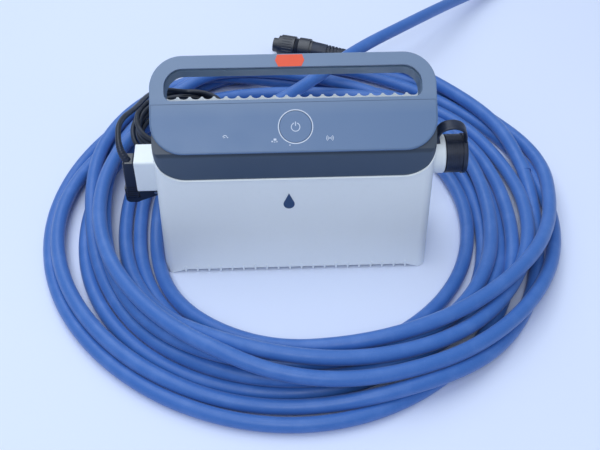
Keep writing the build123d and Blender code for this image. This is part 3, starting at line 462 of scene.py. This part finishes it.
# ---------------------------------------------------------------- materials
class Look:
    """A node material whose colour, roughness and bump come from procedural textures."""

    def __init__(self, name, colour, roughness):
        self.material = bpy.data.materials.new(name)
        self.material.use_nodes = True
        self.tree = self.material.node_tree
        self.shader = self.tree.nodes["Principled BSDF"]
        self.shader.inputs["Roughness"].default_value = roughness
        coordinates = self.tree.nodes.new("ShaderNodeTexCoord")
        self.place = coordinates.outputs["Object"]
        self.colour = self.tree.nodes.new("ShaderNodeRGB").outputs[0]
        self.colour.default_value = colour
        self.height = None

    def put(self, kind, **inputs):
        node = self.tree.nodes.new(kind)
        for key, value in inputs.items():
            socket = node.inputs[key.replace("_", " ")]
            if isinstance(value, bpy.types.NodeSocket):
                self.tree.links.new(value, socket)
            else:
                socket.default_value = value
        return node

    def noise(self, scale, detail=3.0, stretch=None):
        place = self.place
        if stretch is not None:
            place = self.put("ShaderNodeMapping", Vector=place, Scale=stretch).outputs[0]
        node = self.put("ShaderNodeTexNoise", Vector=place, Scale=scale, Detail=detail)
        return node.outputs["Fac"]

    def ramp(self, value, low, high, start=0.0, end=1.0):
        node = self.put("ShaderNodeMapRange", Value=value)
        for key, number in (("From Min", low), ("From Max", high), ("To Min", start),
                            ("To Max", end)):
            node.inputs[key].default_value = number
        return node.outputs[0]

    def tint(self, other, amount):
        """Mix another colour in by a texture; a colour mix has its sockets at 6, 7 and 2."""
        node = self.tree.nodes.new("ShaderNodeMix")
        node.data_type = "RGBA"
        self.tree.links.new(self.colour, node.inputs[6])
        node.inputs[7].default_value = other
        self.tree.links.new(amount, node.inputs[0])
        self.colour = node.outputs[2]
        return self

    def rough(self, value, low, high):
        self.tree.links.new(self.ramp(value, 0.3, 0.7, low, high),
                            self.shader.inputs["Roughness"])
        return self

    def raise_by(self, value, share):
        """Add a texture to the bump's height."""
        node = self.tree.nodes.new("ShaderNodeMath")
        node.operation = "MULTIPLY_ADD"
        self.tree.links.new(value, node.inputs[0])
        node.inputs[1].default_value = share
        if self.height is None:
            node.inputs[2].default_value = 0.0
        else:
            self.tree.links.new(self.height, node.inputs[2])
        self.height = node.outputs[0]
        return self

    def set(self, **numbers):
        for key, value in numbers.items():
            self.shader.inputs[key.replace("_", " ")].default_value = value
        return self

    def done(self, strength=0.3, distance=0.0003):
        self.tree.links.new(self.colour, self.shader.inputs["Base Color"])
        if self.height is not None:
            bump = self.put("ShaderNodeBump", Height=self.height)
            bump.inputs["Strength"].default_value = strength
            bump.inputs["Distance"].default_value = distance
            self.tree.links.new(bump.outputs[0], self.shader.inputs["Normal"])
        return self.material


def plastic(name, colour, roughness, dark=0.85, grain=1800.0, strength=0.12, **more):
    """Moulded plastic: a fine grain, faint clouding, and slightly uneven gloss."""
    look = Look(name, colour, roughness)
    shade = tuple(channel * dark for channel in colour[:3]) + (1.0,)
    look.tint(shade, look.ramp(look.noise(14.0, 4.0), 0.35, 0.75, 0.0, 0.55))
    look.tint(shade, look.ramp(look.noise(260.0, 2.0), 0.52, 0.8, 0.0, 0.35))
    look.rough(look.noise(38.0, 5.0), roughness * 0.88, min(1.0, roughness * 1.15))
    look.raise_by(look.noise(grain, 2.0), 1.0)
    return look.set(**more).done(strength, 0.0002)


def rubber(name, colour, roughness, dust_and_sheen, **more):
    """Rubber or soft vinyl: matt, with random lighter patches that are partly dusty and partly a
    painted bluish sheen.
    """
    look = Look(name, colour, roughness)
    # the lighter colour mixed in here is partly dusty and partly a painted sheen
    look.tint(dust_and_sheen, look.ramp(look.noise(55.0, 6.0), 0.48, 0.78, 0.0, 0.35))
    look.tint(dust_and_sheen, look.ramp(look.noise(700.0, 3.0), 0.55, 0.8, 0.0, 0.25))
    look.rough(look.noise(90.0, 4.0), roughness * 0.85, min(1.0, roughness * 1.12))
    look.raise_by(look.noise(1400.0, 3.0), 1.0)
    return look.set(**more).done(0.2, 0.0002)


def metal(name, colour, roughness, stretch=(1.0, 1.0, 12.0)):
    """Plain or plated metal with fine marks."""
    look = Look(name, colour, roughness)
    dull = tuple(channel * 0.7 for channel in colour[:3]) + (1.0,)
    look.tint(dull, look.ramp(look.noise(160.0, 4.0), 0.45, 0.75, 0.0, 0.6))
    look.rough(look.noise(240.0, 4.0), roughness * 0.7, roughness * 1.3)
    look.raise_by(look.noise(900.0, 2.0, stretch), 1.0)
    return look.set(Metallic=1.0).done(0.15, 0.0001)


def painted(name, colour, roughness, low, high, share):
    """Moulded plastic with painted shade: a deeper tone on low's side of a change of tone at a
    height.
    """
    look = Look(name, colour, roughness)
    shade = tuple(channel * part for channel, part in zip(colour[:3], share)) + (1.0,)
    split = look.put("ShaderNodeSeparateXYZ", Vector=look.place)
    # painted shade: the colour deepens to share's tone on low's side of the height step
    look.tint(shade, look.ramp(split.outputs["Z"], low, high, 1.0, 0.0))
    look.tint(shade, look.ramp(look.noise(14.0, 4.0), 0.35, 0.75, 0.0, 0.12))
    look.rough(look.noise(38.0, 5.0), roughness * 0.88, roughness * 1.15)
    look.raise_by(look.noise(1800.0, 2.0), 1.0)
    return look.done(0.12, 0.0002)


MATERIALS = {
    "case_white": plastic("case_white", srgb(234, 240, 245), 0.42, 0.95),
    # painted shade: above about 0.136 m the cover is darkened to 0.62, against the brighter light
    # on its upward-facing facet under the plate's corners
    "cover_grey": painted("cover_grey", srgb(62, 79, 102), 0.36, 0.1365, 0.1350,
                          (0.62, 0.62, 0.62)),
    # painted shade: the panel is darker and bluer below 0.160 m, ramping out by 0.172 m
    "panel_grey": painted("panel_grey", srgb(115, 136, 166), 0.4, 0.160, 0.172,
                          (0.66, 0.78, 0.92)),
    "grip_grey": plastic("grip_grey", srgb(116, 141, 165), 0.45, 0.93),
    "light_plastic": plastic("light_plastic", srgb(205, 214, 232), 0.3, 0.95, 1500, 0.04),
    "status_lamp": plastic("status_lamp", srgb(190, 225, 200), 0.2, 0.95, 1500, 0.04),
    "label_orange": plastic("label_orange", srgb(240, 92, 60), 0.55, 0.9, 900, 0.15),
    "badge_tone": plastic("badge_tone", srgb(52, 78, 118), 0.3, 0.9, 1500, 0.05),
    "black_plastic": plastic("black_plastic", srgb(17, 26, 46), 0.36, 0.7, 1500, 0.2,
                             Specular_IOR_Level=0.8),
    # the last colour of each rubber is partly dusty and partly a painted bluish sheen
    "black_rubber": rubber("black_rubber", srgb(20, 30, 52), 0.45, srgb(60, 78, 112)),
    "lead_black": rubber("lead_black", srgb(18, 28, 44), 0.45, srgb(54, 68, 94)),
    "cable_blue": rubber("cable_blue", srgb(54, 106, 184), 0.46, srgb(92, 134, 206),
                         Sheen_Weight=0.15),
    "steel": metal("steel", srgb(176, 178, 182), 0.35),
    "plated_contact": metal("plated_contact", srgb(214, 188, 128), 0.25),
    "board_green": plastic("board_green", srgb(32, 92, 56), 0.35, 0.7, 600, 0.2),
    "switch_black": plastic("switch_black", srgb(36, 36, 38), 0.5, 0.8),
    "spreader": metal("spreader", srgb(206, 208, 212), 0.4),
    "can_sleeve": plastic("can_sleeve", srgb(34, 40, 66), 0.3, 0.85),
    "winding": metal("winding", srgb(178, 104, 54), 0.4, (1.0, 60.0, 60.0)),
    "fuse_glass": plastic("fuse_glass", srgb(222, 228, 230), 0.08, 0.95),
    "wire_cover": plastic("wire_cover", srgb(150, 152, 158), 0.5, 0.85),
}
for entry in frame["record"]["subparts"]:
    node = NODES[entry["node"]]
    node.data.materials.clear()
    node.data.materials.append(MATERIALS[entry["material_slot"]])
NODES["indicator_windows"].data.materials.clear()
NODES["indicator_windows"].data.materials.append(MATERIALS["panel_grey"])
for piece in PIECES:
    piece.data.materials.append(MATERIALS[piece["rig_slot"]])
cable.data.materials.append(MATERIALS["cable_blue"])
lead.data.materials.append(MATERIALS["lead_black"])


# ---------------------------------------------------------------- floor and light
def make_floor():
    """A plain pale sheet."""
    mesh = bpy.data.meshes.new("floor")
    half = 9.0
    mesh.from_pydata([(-half, -half, 0), (half, -half, 0), (half, half, 0), (-half, half, 0)],
                     [], [(0, 1, 2, 3)])
    floor = bpy.data.objects.new("floor", mesh)
    floor.location = (0, 0, -0.0002)
    bpy.context.scene.collection.objects.link(floor)
    look = Look("floor", srgb(222, 231, 254), 0.8)
    look.tint(srgb(218, 228, 253), look.ramp(look.noise(2.0), 0.4, 0.7, 0.0, 0.5))
    mesh.materials.append(look.done())


def make_light(name, place, target, size, power, colour):
    data = bpy.data.lights.new(name, "AREA")
    data.shape = "DISK"
    data.size = size
    data.energy = power
    data.color = colour
    light = bpy.data.objects.new(name, data)
    light.location = place
    light.rotation_euler = (Vector(target) - Vector(place)).to_track_quat("-Z", "Y").to_euler()
    bpy.context.scene.collection.objects.link(light)


make_floor()
make_light("key", (-0.5, 0.3, 2.4), (0, 0, 0), 2.4, 30, (0.88, 0.94, 1.0))
make_light("back", (-0.6, 1.9, 1.9), (0, 0, 0), 1.6, 13, (0.88, 0.94, 1.0))
make_light("front", (-0.2, -1.4, 1.9), (0, 0, 0.05), 0.9, 15, (0.9, 0.96, 1.0))
world = bpy.data.worlds.new("soft")
world.use_nodes = True
world.node_tree.nodes["Background"].inputs[0].default_value = (0.78, 0.87, 1.0, 1.0)
world.node_tree.nodes["Background"].inputs[1].default_value = 0.40
bpy.context.scene.world = world
bpy.context.scene.view_settings.view_transform = "Standard"
